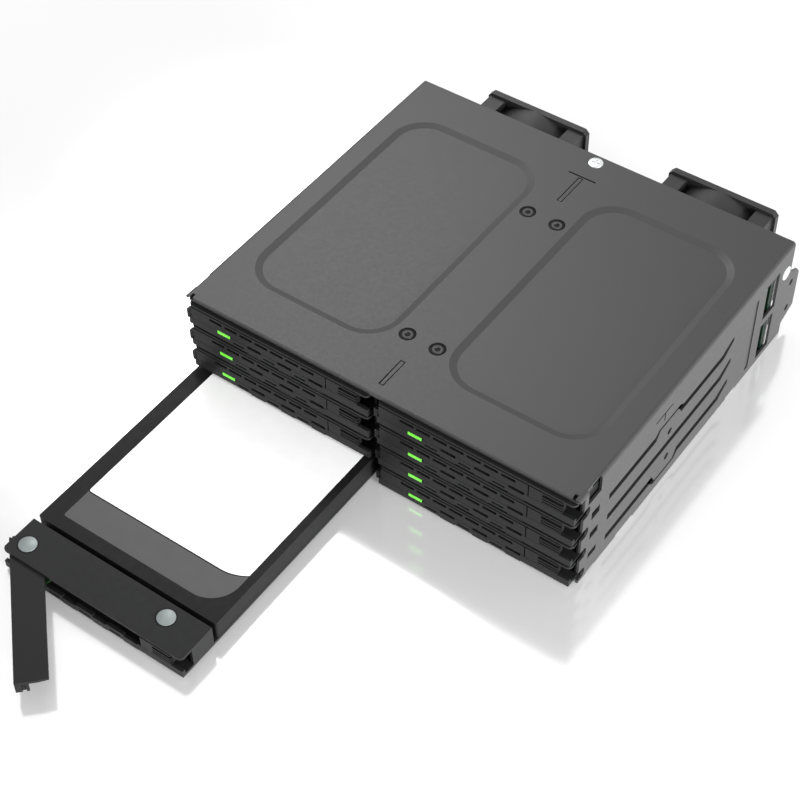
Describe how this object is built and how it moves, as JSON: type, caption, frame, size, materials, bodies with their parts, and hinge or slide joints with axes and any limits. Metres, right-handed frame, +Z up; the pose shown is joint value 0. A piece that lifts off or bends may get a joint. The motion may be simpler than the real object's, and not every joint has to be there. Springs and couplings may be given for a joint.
{
  "type": "hot swap drive cage",
  "caption": "Steel 5.25 inch bay cage with two stacks of slide-out 2.5 inch drive trays, lever and latch fronts, status lenses, a backplane and rear fans.",
  "frame": {"origin": "centre of the cage's underside, halfway between the cover's front and rear edges", "axes": "+X to the right seen from the front, +Y to the back along the tray travel, +Z up"},
  "size_m": [0.1477, 0.2654, 0.0413],
  "materials": {
    "black_sheet": "dark grey satin powder coat",
    "bare_steel": "zinc plated sheet",
    "circuit_board": "green solder mask",
    "socket_plastic": "black moulding",
    "zinc": "satin zinc",
    "fan_plastic": "black moulding",
    "rotor_plastic": "black moulding",
    "drive_metal": "satin black case",
    "tray_plastic": "fine grained black moulding",
    "green_lens": "lit green light guide",
    "lever_plastic": "fine grained black moulding"
  },
  "bodies": {
    "cage": {"cover_shell": "black_sheet", "floor_plate": "bare_steel", "mouth_strip": "black_sheet", "centre_partition": "bare_steel", "backplane_board": "circuit_board", "drive_sockets": "socket_plastic", "data_ports": "socket_plastic", "power_ports": "socket_plastic", "rear_bracket": "bare_steel", "fan_frames": "fan_plastic", "cover_screws": "zinc", "switch_body": "bare_steel"},
    "tray_left_1": {"tray_left_1": "tray_plastic", "led_lens_left_1": "green_lens", "drive_case": "drive_metal", "drive_plug": "socket_plastic"},
    "lever_left_1": {"lever_left_1": "lever_plastic"},
    "latch_left_1": {"latch_left_1": "lever_plastic"},
    "tray_left_2": {"tray_left_2": "tray_plastic", "led_lens_left_2": "green_lens"},
    "lever_left_2": {"lever_left_2": "lever_plastic"},
    "latch_left_2": {"latch_left_2": "lever_plastic"},
    "tray_left_3": {"tray_left_3": "tray_plastic", "led_lens_left_3": "green_lens"},
    "lever_left_3": {"lever_left_3": "lever_plastic"},
    "latch_left_3": {"latch_left_3": "lever_plastic"},
    "tray_left_4": {"tray_left_4": "tray_plastic", "led_lens_left_4": "green_lens"},
    "lever_left_4": {"lever_left_4": "lever_plastic"},
    "latch_left_4": {"latch_left_4": "lever_plastic"},
    "tray_right_1": {"tray_right_1": "tray_plastic", "led_lens_right_1": "green_lens"},
    "lever_right_1": {"lever_right_1": "lever_plastic"},
    "latch_right_1": {"latch_right_1": "lever_plastic"},
    "tray_right_2": {"tray_right_2": "tray_plastic", "led_lens_right_2": "green_lens"},
    "lever_right_2": {"lever_right_2": "lever_plastic"},
    "latch_right_2": {"latch_right_2": "lever_plastic"},
    "tray_right_3": {"tray_right_3": "tray_plastic", "led_lens_right_3": "green_lens"},
    "lever_right_3": {"lever_right_3": "lever_plastic"},
    "latch_right_3": {"latch_right_3": "lever_plastic"},
    "tray_right_4": {"tray_right_4": "tray_plastic", "led_lens_right_4": "green_lens"},
    "lever_right_4": {"lever_right_4": "lever_plastic"},
    "latch_right_4": {"latch_right_4": "lever_plastic"},
    "rotor_left": {"fan_rotor_left": "rotor_plastic"},
    "rotor_right": {"fan_rotor_right": "rotor_plastic"},
    "switch_knob": {"switch_knob": "socket_plastic"}
  },
  "joints": [
    {"name": "tray_slide_left_1", "type": "slide", "parent": "cage", "child": "tray_left_1", "axis": [0, -1, 0], "range_m": [-0.091, 0.024]},
    {"name": "lever_hinge_left_1", "type": "hinge", "parent": "tray_left_1", "child": "lever_left_1", "pos_m": [-0.0663, -0.1513, 0.0053], "axis": [0, 0, 1], "range_deg": [0, 45]},
    {"name": "latch_hinge_left_1", "type": "hinge", "parent": "tray_left_1", "child": "latch_left_1", "pos_m": [-0.0148, -0.1478, 0.0053], "axis": [0, 0, 1], "range_deg": [0, 6], "stiffness_Nm_per_rad": 0.05},
    {"name": "tray_slide_left_2", "type": "slide", "parent": "cage", "child": "tray_left_2", "axis": [0, -1, 0], "range_m": [0, 0.115]},
    {"name": "lever_hinge_left_2", "type": "hinge", "parent": "tray_left_2", "child": "lever_left_2", "pos_m": [-0.0663, -0.0603, 0.015], "axis": [0, 0, 1], "range_deg": [-45, 0]},
    {"name": "latch_hinge_left_2", "type": "hinge", "parent": "tray_left_2", "child": "latch_left_2", "pos_m": [-0.0148, -0.0568, 0.015], "axis": [0, 0, 1], "range_deg": [0, 6], "stiffness_Nm_per_rad": 0.05},
    {"name": "tray_slide_left_3", "type": "slide", "parent": "cage", "child": "tray_left_3", "axis": [0, -1, 0], "range_m": [0, 0.115]},
    {"name": "lever_hinge_left_3", "type": "hinge", "parent": "tray_left_3", "child": "lever_left_3", "pos_m": [-0.0663, -0.0603, 0.0247], "axis": [0, 0, 1], "range_deg": [-45, 0]},
    {"name": "latch_hinge_left_3", "type": "hinge", "parent": "tray_left_3", "child": "latch_left_3", "pos_m": [-0.0148, -0.0568, 0.0247], "axis": [0, 0, 1], "range_deg": [0, 6], "stiffness_Nm_per_rad": 0.05},
    {"name": "tray_slide_left_4", "type": "slide", "parent": "cage", "child": "tray_left_4", "axis": [0, -1, 0], "range_m": [0, 0.115]},
    {"name": "lever_hinge_left_4", "type": "hinge", "parent": "tray_left_4", "child": "lever_left_4", "pos_m": [-0.0663, -0.0603, 0.0344], "axis": [0, 0, 1], "range_deg": [-45, 0]},
    {"name": "latch_hinge_left_4", "type": "hinge", "parent": "tray_left_4", "child": "latch_left_4", "pos_m": [-0.0148, -0.0568, 0.0344], "axis": [0, 0, 1], "range_deg": [0, 6], "stiffness_Nm_per_rad": 0.05},
    {"name": "tray_slide_right_1", "type": "slide", "parent": "cage", "child": "tray_right_1", "axis": [0, -1, 0], "range_m": [0, 0.115]},
    {"name": "lever_hinge_right_1", "type": "hinge", "parent": "tray_right_1", "child": "lever_right_1", "pos_m": [0.0071, -0.0603, 0.0053], "axis": [0, 0, 1], "range_deg": [-45, 0]},
    {"name": "latch_hinge_right_1", "type": "hinge", "parent": "tray_right_1", "child": "latch_right_1", "pos_m": [0.0586, -0.0568, 0.0053], "axis": [0, 0, 1], "range_deg": [0, 6], "stiffness_Nm_per_rad": 0.05},
    {"name": "tray_slide_right_2", "type": "slide", "parent": "cage", "child": "tray_right_2", "axis": [0, -1, 0], "range_m": [0, 0.115]},
    {"name": "lever_hinge_right_2", "type": "hinge", "parent": "tray_right_2", "child": "lever_right_2", "pos_m": [0.0071, -0.0603, 0.015], "axis": [0, 0, 1], "range_deg": [-45, 0]},
    {"name": "latch_hinge_right_2", "type": "hinge", "parent": "tray_right_2", "child": "latch_right_2", "pos_m": [0.0586, -0.0568, 0.015], "axis": [0, 0, 1], "range_deg": [0, 6], "stiffness_Nm_per_rad": 0.05},
    {"name": "tray_slide_right_3", "type": "slide", "parent": "cage", "child": "tray_right_3", "axis": [0, -1, 0], "range_m": [0, 0.115]},
    {"name": "lever_hinge_right_3", "type": "hinge", "parent": "tray_right_3", "child": "lever_right_3", "pos_m": [0.0071, -0.0603, 0.0247], "axis": [0, 0, 1], "range_deg": [-45, 0]},
    {"name": "latch_hinge_right_3", "type": "hinge", "parent": "tray_right_3", "child": "latch_right_3", "pos_m": [0.0586, -0.0568, 0.0247], "axis": [0, 0, 1], "range_deg": [0, 6], "stiffness_Nm_per_rad": 0.05},
    {"name": "tray_slide_right_4", "type": "slide", "parent": "cage", "child": "tray_right_4", "axis": [0, -1, 0], "range_m": [0, 0.115]},
    {"name": "lever_hinge_right_4", "type": "hinge", "parent": "tray_right_4", "child": "lever_right_4", "pos_m": [0.0071, -0.0603, 0.0344], "axis": [0, 0, 1], "range_deg": [-45, 0]},
    {"name": "latch_hinge_right_4", "type": "hinge", "parent": "tray_right_4", "child": "latch_right_4", "pos_m": [0.0586, -0.0568, 0.0344], "axis": [0, 0, 1], "range_deg": [0, 6], "stiffness_Nm_per_rad": 0.05},
    {"name": "fan_spin_left", "type": "hinge", "parent": "cage", "child": "rotor_left", "pos_m": [-0.0311, 0.065, 0.0204], "axis": [0, 1, 0], "continuous": true},
    {"name": "fan_spin_right", "type": "hinge", "parent": "cage", "child": "rotor_right", "pos_m": [0.0414, 0.065, 0.0204], "axis": [0, 1, 0], "continuous": true},
    {"name": "speed_switch_slide", "type": "slide", "parent": "cage", "child": "switch_knob", "axis": [1, 0, 0], "range_m": [0, 0.002]}
  ]
}
